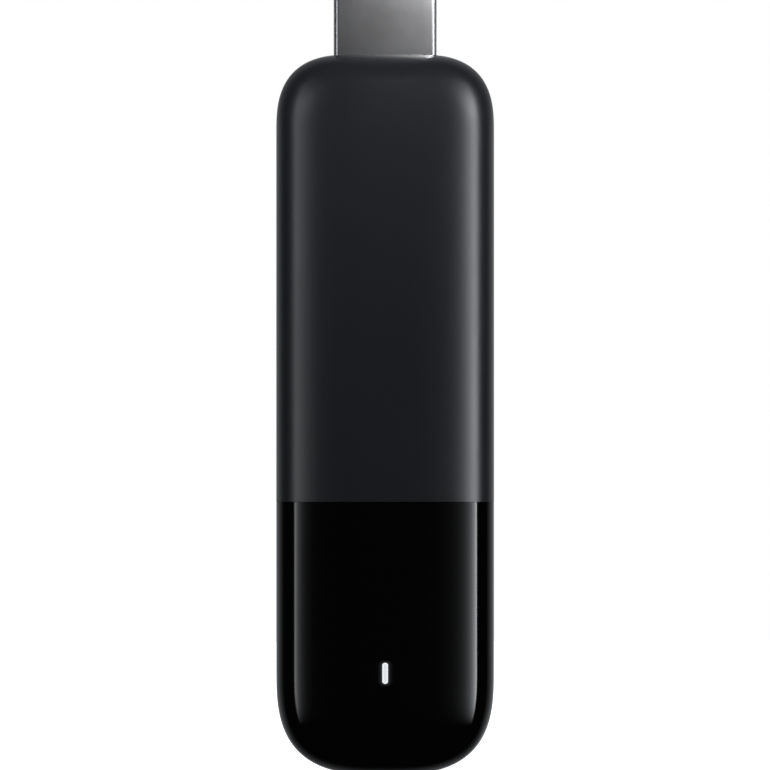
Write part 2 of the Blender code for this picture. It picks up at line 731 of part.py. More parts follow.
def make_shields(parts, materials):
    """On each side a soldered frame, a lid over it, a thermal pad and a heat spreader."""
    sets = (
        ("front", FRONT, 0.0023, (-0.0105, 0.0105), (-0.0500, -0.0165)),
        ("back", BACK, 0.0018, (-0.0105, 0.0105), (-0.0585, -0.0310)),
    )
    spreader_top = 0.0053 - BOARD_THICKNESS / 2
    for name, side, height, x_range, z_range in sets:
        inward = (0, -side, 0)
        outward = (0, side, 0)
        low, high = mounted(side, SOLDER_GAP, height, x_range, z_range)
        steel = materials["shield_steel"]
        sheet_box(f"shield_frame_{name}", low, high, FRAME_SHEET, (inward, outward), parts, steel)

        rise = height + 0.0001
        grow = LID_SHEET + 0.0001
        wide = (x_range[0] - grow, x_range[1] + grow)
        long = (z_range[0] - grow, z_range[1] + grow)
        low, high = mounted(side, rise - 0.0009, rise + LID_SHEET, wide, long)
        sheet_box(f"shield_lid_{name}", low, high, LID_SHEET, (inward,), parts, steel)

        middle = (z_range[0] + z_range[1]) / 2
        pad_low = rise + LID_SHEET + SOLDER_GAP
        pad_high = spreader_top - 0.0006 - SOLDER_GAP
        low, high = mounted(side, pad_low, pad_high, (-0.0080, 0.0080), (middle - 0.0100, middle + 0.0100))
        block_part(f"thermal_pad_{name}", low, high, parts, materials["thermal_pad"], 0.0002)

        low, high = mounted(side, spreader_top - 0.0006, spreader_top, (-0.0094, 0.0094), z_range)
        block_part(f"heat_spreader_{name}", low, high, parts, materials["aluminium"], 0.0001)


def make_antennas(parts, materials):
    """A stamped strip at each bottom corner of the board: a foot, a short leg and a long arm."""
    foot_y = -BOARD_THICKNESS / 2 - SOLDER_GAP
    for name, way in (("antenna_left", -1), ("antenna_right", 1)):
        outline_points = [
            (0.0040, -0.0890),
            (0.0054, -0.0890),
            (0.0054, -0.0866),
            (0.0066, -0.0866),
            (0.0066, -0.0890),
            (0.0074, -0.0890),
            (0.0074, -0.0866),
            (0.0096, -0.0866),
            (0.0096, -0.0854),
            (0.0040, -0.0854),
        ]
        points = [(way * x, z) for x, z in outline_points]
        bm = bmesh.new()
        add_prism(bm, points, 1, foot_y - 0.0003, foot_y)
        add_object(name, bm, parts, materials["shield_steel"])


def main():
    clear_scene()
    parts = new_collection("streaming_media_player")
    tools = new_collection("construction")
    materials = make_materials()
    shared = make_housing_tools(tools)
    make_front_cover(parts, tools, shared, materials)
    make_front_cap(parts, tools, shared, materials)
    make_back_cover(parts, tools, shared, materials)
    make_plug_shell(parts, tools, materials)
    make_plug_insulator(parts, tools, materials)
    make_plug_contacts(parts, materials)
    make_plug_collar(parts, materials)
    make_port(parts, tools, materials)
    make_status_light(parts, tools, materials)
    make_board(parts, tools, materials)
    make_chips(parts, materials)
    make_shields(parts, materials)
    make_antennas(parts, materials)


main()
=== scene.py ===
"""Looks of the streaming media player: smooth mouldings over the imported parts, materials and the studio.

Everything is in metres in the part's own frame: +Z runs up along the plug, the front face looks
along -Y, and the origin is in the middle of the plug where it leaves the housing.
"""

import json
import math

import bmesh
import bpy
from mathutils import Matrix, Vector


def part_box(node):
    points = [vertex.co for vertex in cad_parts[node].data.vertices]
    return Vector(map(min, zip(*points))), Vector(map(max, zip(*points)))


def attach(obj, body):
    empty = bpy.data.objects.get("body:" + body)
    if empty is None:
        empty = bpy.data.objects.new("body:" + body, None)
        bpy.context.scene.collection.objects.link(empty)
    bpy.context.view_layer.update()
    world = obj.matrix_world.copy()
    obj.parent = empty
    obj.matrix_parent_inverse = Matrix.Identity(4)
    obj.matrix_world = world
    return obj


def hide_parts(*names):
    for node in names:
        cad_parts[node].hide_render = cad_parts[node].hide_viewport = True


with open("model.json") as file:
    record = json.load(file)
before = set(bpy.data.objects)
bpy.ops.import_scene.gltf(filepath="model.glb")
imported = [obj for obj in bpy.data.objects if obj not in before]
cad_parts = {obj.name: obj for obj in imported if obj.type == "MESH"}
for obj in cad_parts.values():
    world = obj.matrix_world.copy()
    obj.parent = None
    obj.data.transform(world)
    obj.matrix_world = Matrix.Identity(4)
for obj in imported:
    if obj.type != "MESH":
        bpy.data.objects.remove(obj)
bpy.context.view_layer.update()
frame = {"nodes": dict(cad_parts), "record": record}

# The housing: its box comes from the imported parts, and its walls and seams from here
COVER_LOW, COVER_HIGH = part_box("front_cover")
CAP_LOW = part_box("front_cap")[0]
BACK_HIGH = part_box("back_cover")[1]
HALF_WIDTH = COVER_HIGH.x
HALF_DEPTH = BACK_HIGH.y
BODY_LENGTH = -CAP_LOW.z
CAD_GAP = 0.0003
PARTING_Y = COVER_HIGH.y + CAD_GAP / 2
SPLIT_Z = COVER_LOW.z - CAD_GAP / 2
WALL = 0.0015
SEAM = 0.00007
LIP_OUTER = WALL + 0.0003
LIP_INNER = LIP_OUTER + 0.0008
LIP_TIP_Y = 0.0002
LIP_ROOT_Y = 0.0034
LIP_SEAT_Y = 0.0016
LIP_TOP_Z = -0.0095
FLANGE_INSET = 0.00018
FLANGE = 0.00006
FLANGE_EDGE = FLANGE / 6
SPLIT_SEAM = 0.00003
EDGE = 0.00006
INNER_EDGE = 0.00003

# Its outline and its rounding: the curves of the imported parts, with many more points
TOP_FLAT = 0.0041
TOP_CORNER = 0.0104
TOP_POWER = 2.72
END_HEIGHT = 0.0141
END_POWER = 2.9
SIDE_FLAT = 0.0022
ROUND_POWER = 2.6
TOP_ROUND = 0.005
FRONT_FLAT = 0.1
BACK_FLAT = 0.55
CORNER_STEPS = 36
ROUND_STEPS = 32
FRONT = -1
BACK = 1

# The plug
PLUG_LOW, PLUG_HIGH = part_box("plug_shell")
PLUG_HALF = PLUG_HIGH.x
PLUG_DEEP = PLUG_HIGH.y
PLUG_SLANT_Y = 0.00045
PLUG_NARROW_HALF = 0.00525
PLUG_CORNER = 0.0007
PLUG_CORNER_STEPS = 8
PLUG_SIDE_STEPS = 12
PLUG_SHEET = 0.0003
PLUG_CROWN = 0.00004
PLUG_SEAM = 0.0001
PLUG_EDGE = 0.00005
PLUG_LEAD_IN = 0.0006
LEAD_IN_START = 0.3
MOUTH_STEPS = 8
LATCH_X = 0.0030
LATCH_SIZE = (0.0018, 0.0024)
LATCH_Z = 0.0052
LAND_SIZE = (0.0166, 0.0066)
LAND_DEPTH = 0.0003
LAND_CORNER = 0.0015
CUTTER_TOP_Z = 0.003
PLUG_CLEARANCE = 0.00008

# The status light and the power inlet
LIGHT_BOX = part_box("light_pipe")
LIGHT_Z = (LIGHT_BOX[0].z + LIGHT_BOX[1].z) / 2
LIGHT_FACE_Y = LIGHT_BOX[0].y
LIGHT_WIDTH = 0.00076
LIGHT_HEIGHT = 0.0028
LIGHT_GAP = 0.00002
PILL_ROUNDING = 0.97
PILL_STEPS = 12
PORT_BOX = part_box("port_shell")
PORT_Z = (PORT_BOX[0].z + PORT_BOX[1].z) / 2
PORT_HOLE = (0.0080, 0.0030)
PORT_HOLE_CORNER = 0.0011

# The camera looks level along +Y and cuts off the plug's tip and the last of the bottom end
VIEW_HEIGHT = 0.10403
VIEW_TOP_Z = 0.00737
VIEW_X = -0.00002
LENS = 1000
SENSOR = 36
CLIP_END = 20

# Materials: the span that most of a noise lies in, pattern sizes in metres, colours and roughness.
# The two PLASTIC rows hold a pattern's size and how far it shifts the roughness.
NOISE_SPAN = (0.3, 0.7)
PLASTIC_CLOUD = (0.012, 0.01)
PLASTIC_RUB = (0.0016, 0.006)
GLOSS_BLACK = (0.0006, 0.0006, 0.0007)
GLOSS_IOR = 1.5
HAZE_SIZE = 0.006
HAZE_ROUGHNESS = (0.055, 0.07)
WIPE_SIZE = 0.00025
WIPE_STRETCH = (1, 1, 0.08)
WIPE_ROUGHNESS = 0.05
WAVE_SIZE = 0.0035
WAVE_DEPTH = 0.000002
METAL_CLOUD = 0.004
METAL_SPECK = 0.0002
FILLER_CLOUD = 0.003
FILLER_SHIFT = 0.06
TRACK_SCALE = 900
TRACK_DEPTH = 0.00002
WEAVE_SIZE = 0.0004
WEAVE_STRETCH = (1, 1, 0.2)

# The lit lens, and its glow in the gloss plastic beside it
LENS_COLOUR = (0.3, 0.31, 0.32)
LENS_CORE = 0.00008
LENS_GLOW = (0.57, 0.79)
LENS_CLOUD = 0.0004
LENS_LIGHT = (0.97, 0.99, 1.0)
HALO_LIGHT = (0.9, 0.95, 1.0)
HALO_LEVEL = 0.055
HALO_DECAY = 0.00017
HALO_END = 0.0004

# Studio: strips and fills are placed by degrees round Z from the camera, positive to the right, and
# the pairs of heights are the Z of a direction at which an end of a light starts and is complete
STRIP_RIGHT = {"side": 1, "edge": 56.7, "fade": 6.8, "strength": 11.0, "blur": 0.4}
STRIP_LEFT = {"side": -1, "edge": 54.2, "fade": 5.4, "strength": 4.2, "blur": 1.5}
STRIP_LOW = (-0.38, -0.04)
STRIP_HIGH = (0.08, 0.60)
FILL_RIGHT = {"centre": 45.5, "width": 8.5, "strength": 9.5}
FILL_LEFT = {"centre": -38.0, "width": 7.0, "strength": 2.8}
FILL_LOW = (0.02, 0.12)
FILL_HIGH = (0.08, 0.26)

# The background brightens from the first depth (the Y of a direction) to the second, up to the level
BACKGROUND_LEFT = {"start": 0.01, "full": 0.56, "level": 0.39}
BACKGROUND_RIGHT = {"start": 0.02, "full": 0.60, "level": 0.49}
SIDES_BLEND = 0.05
CORNER_SPAN = (0.0, 0.1)
CORNER_DIM = 0.62
LOW_SPAN = (-0.55, -0.25)
LOW_DIM = 0.55
AMBIENT = 0.014
DIFFUSE_SHARE = 0.5
DOME = (0.15, 0.75)
COOL = (0.965, 1.0, 1.04)
WHITE = (1, 1, 1)

# Lamps and floor
TOP_LIGHT = {
    "place": (0.004, -0.040, 0.003),
    "target": (0.002, 0, -0.006),
    "size": 0.02,
    "power": 0.0115,
}
PLUG_LIGHT = {
    "place": (0.016, -0.029, 0.022),
    "target": (0, 0, 0.005),
    "size": 0.008,
    "power": 0.0247,
}
FLOOR_COLOUR = (0.9, 0.9, 0.9)
FLOOR_ROUGHNESS = 0.9
FLOOR_GLOW = 0.8
FLOOR_RADIUS = 1.5
FLOOR_DROP = 0.00005


# ---------------------------------------------------------------- node helpers


class Nodes:
    """A small builder for one node tree."""

    def __init__(self, tree):
        self.tree = tree

    def add(self, kind, **settings):
        node = self.tree.nodes.new(kind)
        for name, value in settings.items():
            setattr(node, name, value)
        return node

    def link(self, source, target):
        self.tree.links.new(source, target)

    def put(self, value, target):
        """Links value to the target if it is a socket, and sets it there if it is a number."""
        if isinstance(value, bpy.types.NodeSocket):
            self.link(value, target)
        else:
            target.default_value = value

    def math(self, operation, first, second=0.0):
        node = self.add("ShaderNodeMath", operation=operation)
        self.put(first, node.inputs[0])
        self.put(second, node.inputs[1])
        return node.outputs[0]

    def vector(self, operation, first, second=(0, 0, 0)):
        node = self.add("ShaderNodeVectorMath", operation=operation)
        self.put(first, node.inputs[0])
        self.put(second, node.inputs[1])
        return node.outputs["Value"] if operation == "LENGTH" else node.outputs["Vector"]

    def spread(self, value, low, high, to_low, to_high, smooth=False):
        """Maps value from low..high to to_low..to_high, held at both ends."""
        node = self.add("ShaderNodeMapRange")
        if smooth:
            node.interpolation_type = "SMOOTHSTEP"
        self.put(value, node.inputs["Value"])
        node.inputs["From Min"].default_value = low
        node.inputs["From Max"].default_value = high
        node.inputs["To Min"].default_value = to_low
        node.inputs["To Max"].default_value = to_high
        return node.outputs["Result"]

    def grade(self, noise, to_low, to_high):
        """Spreads a noise over to_low..to_high."""
        return self.spread(noise, *NOISE_SPAN, to_low, to_high)

    def noise(self, place, size, detail=2.0, roughness=0.5):
        """Noise whose features are about size metres across."""
        node = self.add("ShaderNodeTexNoise")
        self.link(place, node.inputs["Vector"])
        node.inputs["Scale"].default_value = 1 / size
        node.inputs["Detail"].default_value = detail
        node.inputs["Roughness"].default_value = roughness
        return node.outputs["Fac"]

    def blend(self, factor, first, second):
        """A colour between two, each a socket or three numbers."""
        node = self.add("ShaderNodeMix", data_type="RGBA")
        self.put(factor, node.inputs["Factor"])
        for value, socket in ((first, node.inputs["A"]), (second, node.inputs["B"])):
            self.put(value if isinstance(value, bpy.types.NodeSocket) else (*value, 1), socket)
        return node.outputs["Result"]

    def bump(self, height, depth):
        node = self.add("ShaderNodeBump")
        node.inputs["Strength"].default_value = 1.0
        node.inputs["Distance"].default_value = depth
        self.link(height, node.inputs["Height"])
        return node.outputs["Normal"]

    def place(self, stretch=(1, 1, 1)):
        """Object coordinates in metres, squeezed by stretch along each axis."""
        coordinates = self.add("ShaderNodeTexCoord").outputs["Object"]
        if stretch == (1, 1, 1):
            return coordinates
        return self.vector("MULTIPLY", coordinates, stretch)


def new_material(name):
    """An empty procedural material: its nodes and its Principled shader."""
    material = bpy.data.materials.new(name)
    material.use_nodes = True
    shader = material.node_tree.nodes["Principled BSDF"]
    return material, Nodes(material.node_tree), shader


def shade(colour, factor):
    return tuple(part * factor for part in colour)


# ---------------------------------------------------------------- materials


def moulded_plastic(name, colour, roughness, grain, depth, mottle=0.12, ior=1.5):
    """Plastic moulded in an etched tool: an even fine grain, and slight changes of polish."""
    material, nodes, shader = new_material(name)
    place = nodes.place()
    fine = nodes.noise(place, grain, 3.0, 0.6)
    tone = nodes.grade(fine, 0.0, 1.0)
    body = nodes.blend(tone, shade(colour, 1 - mottle), shade(colour, 1 + mottle))
    nodes.link(body, shader.inputs["Base Color"])
    cloud_size, cloud_shift = PLASTIC_CLOUD
    rub_size, rub_shift = PLASTIC_RUB
    cloud = nodes.grade(nodes.noise(place, cloud_size, 2.0), -cloud_shift, cloud_shift)
    rubbed = nodes.grade(nodes.noise(place, rub_size, 4.0), -rub_shift, rub_shift)
    polish = nodes.math("ADD", cloud, rubbed)
    nodes.link(nodes.math("ADD", polish, roughness), shader.inputs["Roughness"])
    shader.inputs["IOR"].default_value = ior
    nodes.link(nodes.bump(fine, depth), shader.inputs["Normal"])
    return material


def distance_to_light(nodes):
    """Distance from the middle line of the light's pill, and across and along it, in metres."""
    centre = (0.0, LIGHT_FACE_Y, LIGHT_Z)
    offset = nodes.vector("SUBTRACT", nodes.place(), centre)
    away = nodes.vector("ABSOLUTE", offset)
    straight = (LIGHT_HEIGHT - LIGHT_WIDTH) / 2
    past = nodes.vector("MAXIMUM", nodes.vector("SUBTRACT", away, (0, 0, straight)), (0, 0, 0))
    axes = nodes.add("ShaderNodeSeparateXYZ")
    nodes.link(away, axes.inputs["Vector"])
    return nodes.vector("LENGTH", past), axes.outputs["X"], axes.outputs["Z"]


def gloss_plastic(name):
    """Polished black plastic: faint waves of the mould, hairline wiping marks, and the light's halo."""
    material, nodes, shader = new_material(name)
    place = nodes.place()
    shader.inputs["Base Color"].default_value = (*GLOSS_BLACK, 1)
    shader.inputs["IOR"].default_value = GLOSS_IOR
    haze = nodes.grade(nodes.noise(place, HAZE_SIZE, 3.0), *HAZE_ROUGHNESS)
    wiped = nodes.noise(nodes.place(WIPE_STRETCH), WIPE_SIZE, 3.0, 0.7)
    wiped = nodes.spread(wiped, 0.62, 0.8, 0.0, WIPE_ROUGHNESS)
    nodes.link(nodes.math("ADD", haze, wiped), shader.inputs["Roughness"])
    waves = nodes.noise(place, WAVE_SIZE, 1.0)
    nodes.link(nodes.bump(waves, WAVE_DEPTH), shader.inputs["Normal"])

    across, along = distance_to_light(nodes)[1:]
    beyond = nodes.math("MAXIMUM", nodes.math("SUBTRACT", across, LIGHT_WIDTH / 2), 0.0)
    glow = nodes.math("EXPONENT", nodes.math("DIVIDE", beyond, -HALO_DECAY))
    end = LIGHT_HEIGHT / 2
    beside = nodes.spread(along, end - HALO_END, end + HALO_END, HALO_LEVEL, 0.0, smooth=True)
    nodes.link(nodes.math("MULTIPLY", glow, beside), shader.inputs["Emission Strength"])
    shader.inputs["Emission Color"].default_value = (*HALO_LIGHT, 1)
    return material


def lit_plastic(name):
    """The milky light pipe, a little brighter at its rim than over the light source."""
    material, nodes, shader = new_material(name)
    away = distance_to_light(nodes)[0]
    clouds = nodes.noise(nodes.place(), LENS_CLOUD, 2.0)
    level = nodes.spread(away, LENS_CORE, LIGHT_WIDTH / 2, *LENS_GLOW, smooth=True)
    level = nodes.math("MULTIPLY", level, nodes.grade(clouds, 0.97, 1.03))
    shader.inputs["Base Color"].default_value = (*LENS_COLOUR, 1)
    nodes.link(nodes.grade(clouds, 0.28, 0.4), shader.inputs["Roughness"])
    shader.inputs["Emission Color"].default_value = (*LENS_LIGHT, 1)
    nodes.link(level, shader.inputs["Emission Strength"])
    return material


def sheet_metal(name, colour, roughness, stretch, streak, depth, uneven=0.04, stain=0.08):
    """Rolled or plated metal: fine streaks along the sheet, and a slow change of polish over it."""
    material, nodes, shader = new_material(name)
    place = nodes.place()
    streaks = nodes.noise(nodes.place(stretch), streak, 4.0, 0.6)
    cloud = nodes.noise(place, METAL_CLOUD, 3.0)
    speck = nodes.spread(nodes.noise(place, METAL_SPECK, 2.0), 0.2, 0.6, 0.6, 1.0)
    tone = nodes.math("MULTIPLY", nodes.grade(cloud, 0.0, 1.0), speck)
    body = nodes.blend(tone, shade(colour, 1 - stain), colour)
    nodes.link(body, shader.inputs["Base Color"])
    shader.inputs["Metallic"].default_value = 1.0
    polish = nodes.grade(streaks, -uneven, uneven)
    polish = nodes.math("ADD", polish, nodes.grade(cloud, -uneven / 2, uneven / 2))
    nodes.link(nodes.math("ADD", polish, roughness), shader.inputs["Roughness"])
    nodes.link(nodes.bump(streaks, depth), shader.inputs["Normal"])
    return material


def soft_filler(name, colour, roughness, grain, depth):
    """Rubber, silicone, ferrite or resin: no shine, and a visible filler."""
    material, nodes, shader = new_material(name)
    place = nodes.place()
    filler = nodes.noise(place, grain, 4.0, 0.65)
    cloud = nodes.noise(place, FILLER_CLOUD, 2.0)
    grains = nodes.spread(filler, 0.35, 0.7, 0.0, 1.0)
    nodes.link(nodes.blend(grains, shade(colour, 0.8), shade(colour, 1.15)), shader.inputs["Base Color"])
    polish = nodes.grade(cloud, roughness - FILLER_SHIFT, roughness + FILLER_SHIFT)
    nodes.link(polish, shader.inputs["Roughness"])
    nodes.link(nodes.bump(filler, depth), shader.inputs["Normal"])
    return material


def solder_mask(name):
    """Green lacquer over copper tracks on a woven glass board."""
    material, nodes, shader = new_material(name)
    tracks = nodes.add("ShaderNodeTexBrick")
    nodes.link(nodes.place(), tracks.inputs["Vector"])
    tracks.inputs["Scale"].default_value = TRACK_SCALE
    tracks.inputs["Mortar Size"].default_value = 0.06
    weave = nodes.noise(nodes.place(WEAVE_STRETCH), WEAVE_SIZE, 2.0)
    patches = nodes.spread(weave, 0.45, 0.55, 0.0, 1.0)
    copper = nodes.math("MULTIPLY", tracks.outputs["Fac"], patches)
    body = nodes.blend(copper, (0.008, 0.055, 0.028), (0.02, 0.13, 0.06))
    nodes.link(body, shader.inputs["Base Color"])
    nodes.link(nodes.grade(weave, 0.28, 0.4), shader.inputs["Roughness"])
    nodes.link(nodes.bump(copper, TRACK_DEPTH), shader.inputs["Normal"])
    return material


def make_materials():
    """Every material, under the name of its slot."""
    return {
        "matte_black": moulded_plastic(
            "matte_black", (0.0115, 0.0122, 0.0148), 0.292, grain=0.00016, depth=0.0000011, ior=1.66
        ),
        "gloss_black": gloss_plastic("gloss_black"),
        "light_guide": lit_plastic("light_guide"),
        "black_rubber": soft_filler(
            "black_rubber", (0.02, 0.02, 0.02), 0.85, grain=0.0003, depth=0.00001
        ),
        "plated_steel": sheet_metal(
            "plated_steel", (0.60, 0.60, 0.61), 0.3, (1, 1, 0.03), 0.00006, 0.0000002, uneven=0.012
        ),
        "shield_steel": sheet_metal(
            "shield_steel", (0.62, 0.62, 0.6), 0.38, (0.1, 1, 1), streak=0.0002, depth=0.000002
        ),
        "contact_gold": sheet_metal(
            "contact_gold", (0.83, 0.60, 0.26), 0.28, (1, 1, 0.1), streak=0.00008, depth=0.000001
        ),
        "carrier_black": moulded_plastic(
            "carrier_black", (0.012, 0.012, 0.013), 0.5, grain=0.00012, depth=0.000004
        ),
        "board_green": solder_mask("board_green"),
        "chip_black": moulded_plastic(
            "chip_black", (0.018, 0.018, 0.019), 0.6, grain=0.00009, depth=0.000005, mottle=0.25
        ),
        "aluminium": sheet_metal(
            "aluminium", (0.76, 0.77, 0.78), 0.4, (1, 1, 0.05), streak=0.0002, depth=0.000003
        ),
        "thermal_pad": soft_filler(
            "thermal_pad", (0.3, 0.38, 0.46), 0.85, grain=0.0002, depth=0.00001
        ),
        "ferrite": soft_filler(
            "ferrite", (0.05, 0.05, 0.055), 0.7, grain=0.0001, depth=0.000006
        ),
        "capacitor_tan": soft_filler(
            "capacitor_tan", (0.6, 0.35, 0.07), 0.5, grain=0.0003, depth=0.000004
        ),
        "led_white": soft_filler(
            "led_white", (0.82, 0.82, 0.74), 0.4, grain=0.0003, depth=0.000003
        ),
    }


# ---------------------------------------------------------------- solids


def add_piece(name, bm, slot, replaces):
    """Turns bm into a smooth-shaded piece that rides on the frame in place of a CAD node."""
    bmesh.ops.recalc_face_normals(bm, faces=bm.faces)
    mesh = bpy.data.meshes.new(name)
    bm.to_mesh(mesh)
    bm.free()
    mesh.shade_smooth()
    mesh.materials.append(MATERIALS[slot])
    piece = bpy.data.objects.new(name, mesh)
    bpy.context.scene.collection.objects.link(piece)
    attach(piece, "root")
    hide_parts(replaces)
    return piece


def add_block(bm, low, high, axis=None, radius=0.0, segments=8):
    """Adds a box, with its edges along one axis rounded if there is a radius."""
    made = bmesh.ops.create_cube(bm, size=1)["verts"]
    low = Vector(low)
    high = Vector(high)
    bmesh.ops.scale(bm, vec=high - low, verts=made)
    bmesh.ops.translate(bm, vec=(low + high) / 2, verts=made)
    if not radius:
        return
    chosen = []
    for edge in {edge for vert in made for edge in vert.link_edges}:
        run = edge.verts[1].co - edge.verts[0].co
        if abs(run[axis]) > 0.999 * run.length:
            chosen.append(edge)
    bmesh.ops.bevel(bm, geom=chosen, offset=radius, segments=segments, profile=0.5, affect="EDGES")


def cut(piece, blocks):
    """Cuts blocks, each (low, high, axis, radius), out of a piece for good."""
    bm = bmesh.new()
    for low, high, axis, radius in blocks:
        add_block(bm, low, high, axis, radius)
    mesh = bpy.data.meshes.new("cutter")
    bm.to_mesh(mesh)
    bm.free()
    cutter = bpy.data.objects.new("cutter", mesh)
    bpy.context.scene.collection.objects.link(cutter)
    modifier = piece.modifiers.new("cut", "BOOLEAN")
    modifier.object = cutter
    modifier.operation = "DIFFERENCE"
    modifier.solver = "EXACT"
    apply_modifiers(piece)
    bpy.data.objects.remove(cutter)


def apply_modifiers(piece):
    graph = bpy.context.evaluated_depsgraph_get()
    solid = bpy.data.meshes.new_from_object(piece.evaluated_get(graph), depsgraph=graph)
    old = piece.data
    piece.modifiers.clear()
    piece.data = solid
    bpy.data.meshes.remove(old)


def soften(piece, width, segments=3, angle=50):
    """Rounds hard edges and keeps the faces beside them flat."""
    bevel = piece.modifiers.new("edges", "BEVEL")
    bevel.width = width
    bevel.segments = segments
    bevel.limit_method = "ANGLE"
    bevel.angle_limit = math.radians(angle)
    bevel.miter_outer = "MITER_ARC"
    even = piece.modifiers.new("normals", "WEIGHTED_NORMAL")
    even.keep_sharp = True


# ---------------------------------------------------------------- housing


def quarter(steps, power):
    """A quarter superellipse of unit size, from (0, 1) to (1, 0)."""
    points = []
    for step in range(steps + 1):
        angle = math.pi / 2 * step / steps
        points.append((math.sin(angle) ** (2 / power), math.cos(angle) ** (2 / power)))
    return points


def outline(inset, scale=1.0, drop=0.0):
    """The housing's outline, inset inside the outer one, as points of X and Z.

    scale narrows it towards the middle of a face, and drop lowers its top end.
    """
    half = HALF_WIDTH - inset
    right = [(0.0, -inset - drop)]
    for across, up in quarter(CORNER_STEPS, TOP_POWER):
        wide = TOP_FLAT + (half - TOP_FLAT) * across
        right.append((wide * scale, (TOP_CORNER - inset - drop) * up - TOP_CORNER))
    end_middle = END_HEIGHT - BODY_LENGTH
    for down, across in quarter(CORNER_STEPS, END_POWER):
        right.append((half * across * scale, end_middle - (END_HEIGHT - inset) * down * scale))
    left = [(-x, z) for x, z in right[-2:0:-1]]
    return right + left


def skin(side, rim_y):
    """The outer skin of one half of the housing, open at rim_y."""
    flat = FRONT_FLAT if side == FRONT else BACK_FLAT
    start_y = SIDE_FLAT if side == FRONT else rim_y
    levels = [(1.0, rim_y)] if side == FRONT else []
    for outward, inward in quarter(ROUND_STEPS, ROUND_POWER):
        y = side * (start_y + (HALF_DEPTH - start_y) * outward)
        levels.append((flat + (1 - flat) * inward, y))
    bm = bmesh.new()
    loops = []
    for scale, y in levels:
        drop = TOP_ROUND * (1 - scale) / (1 - flat)
        loops.append([bm.verts.new((x, y, z)) for x, z in outline(0.0, scale, drop)])
    join_loops(bm, loops)
    bm.faces.new(loops[-1])
    return bm


def join_loops(bm, loops):
    """Adds the faces between each loop of points and the next."""
    for first, second in zip(loops, loops[1:]):
        for index, vert in enumerate(first):
            after = (index + 1) % len(first)
            bm.faces.new((vert, first[after], second[after], second[index]))


def make_lip():
    """The back cover's lip, which reaches inside the front mouldings, with a flange in the seam."""
    flange_low, flange_high = PARTING_Y - FLANGE / 2, PARTING_Y + FLANGE / 2
    profile = [
        (LIP_OUTER, LIP_ROOT_Y),
        (LIP_OUTER, flange_high),
        (FLANGE_INSET, flange_high),
        (FLANGE_INSET, flange_low),
        (LIP_OUTER, flange_low),
        (LIP_OUTER, LIP_TIP_Y),
        (LIP_INNER, LIP_TIP_Y),
        (LIP_INNER, LIP_ROOT_Y),
    ]
    bm = bmesh.new()
    loops = []
    for inset, y in profile:
        loops.append([bm.verts.new((x, y, z)) for x, z in outline(inset)])
    join_loops(bm, loops + loops[:1])
    lip = add_piece("back_cover_lip", bm, "matte_black", "back_cover")
    wide = PLUG_HALF + WALL
    port = PORT_HOLE[0] / 2
    plug_gap = ((-wide, -HALF_DEPTH, LIP_TOP_Z), (wide, HALF_DEPTH, CUTTER_TOP_Z), None, 0)
    port_low = (HALF_WIDTH / 2, -HALF_DEPTH, PORT_Z - port)
    port_high = (HALF_WIDTH, LIP_SEAT_Y, PORT_Z + port)
    cut(lip, [plug_gap])
    cut(lip, [(port_low, port_high, None, 0)])
    soften(lip, FLANGE_EDGE)


def keep_side(bm, z, sign):
    """Cuts the skin at a height and keeps what is above it, or below it with a sign of -1."""
    geometry = bm.verts[:] + bm.edges[:] + bm.faces[:]
    place, normal = (0, 0, z), (0, 0, sign)
    bmesh.ops.bisect_plane(bm, geom=geometry, plane_co=place, plane_no=normal, clear_inner=True)


def thicken(piece):
    """Gives a skin the housing's wall, on its inner side."""
    solid = piece.modifiers.new("wall", "SOLIDIFY")
    solid.thickness = WALL
    solid.offset = -1
    solid.use_even_offset = True
    apply_modifiers(piece)


def cut_plug_opening(cover):
    """Cuts the sunk land round the plug, and the hole that the plug comes out of."""
    wide, deep = LAND_SIZE[0] / 2, LAND_SIZE[1] / 2
    cut(cover, [((-wide, -deep, -LAND_DEPTH), (wide, deep, CUTTER_TOP_Z), 2, LAND_CORNER)])
    wide, deep = PLUG_HALF + PLUG_CLEARANCE, PLUG_DEEP + PLUG_CLEARANCE
    cut(cover, [((-wide, -deep, -3 * WALL), (wide, deep, CUTTER_TOP_Z), 2, PLUG_CORNER)])


def make_front_cover():
    bm = skin(FRONT, PARTING_Y - SEAM / 2)
    keep_side(bm, SPLIT_Z + SPLIT_SEAM / 2, 1)
    cover = add_piece("front_cover_moulding", bm, "matte_black", "front_cover")
    thicken(cover)
    cut_plug_opening(cover)
    soften(cover, EDGE)


def make_front_cap():
    bm = skin(FRONT, PARTING_Y - SEAM / 2)
    keep_side(bm, SPLIT_Z - SPLIT_SEAM / 2, -1)
    cap = add_piece("front_cap_moulding", bm, "gloss_black", "front_cap")
    thicken(cap)
    half_x = LIGHT_WIDTH / 2 + LIGHT_GAP
    half_z = LIGHT_HEIGHT / 2 + LIGHT_GAP
    low = (-half_x, -2 * HALF_DEPTH, LIGHT_Z - half_z)
    high = (half_x, -HALF_DEPTH / 2, LIGHT_Z + half_z)
    cut(cap, [(low, high, 1, half_x * PILL_ROUNDING)])
    half_z, half_y = PORT_HOLE[0] / 2, PORT_HOLE[1] / 2
    low = (HALF_WIDTH - 3 * WALL, -half_y, PORT_Z - half_z)
    high = (HALF_WIDTH + WALL, half_y, PORT_Z + half_z)
    cut(cap, [(low, high, 0, PORT_HOLE_CORNER)])
    soften(cap, EDGE)


def make_back_cover():
    bm = skin(BACK, PARTING_Y + SEAM / 2)
    cover = add_piece("back_cover_moulding", bm, "matte_black", "back_cover")
    thicken(cover)
    cut_plug_opening(cover)
    soften(cover, EDGE)


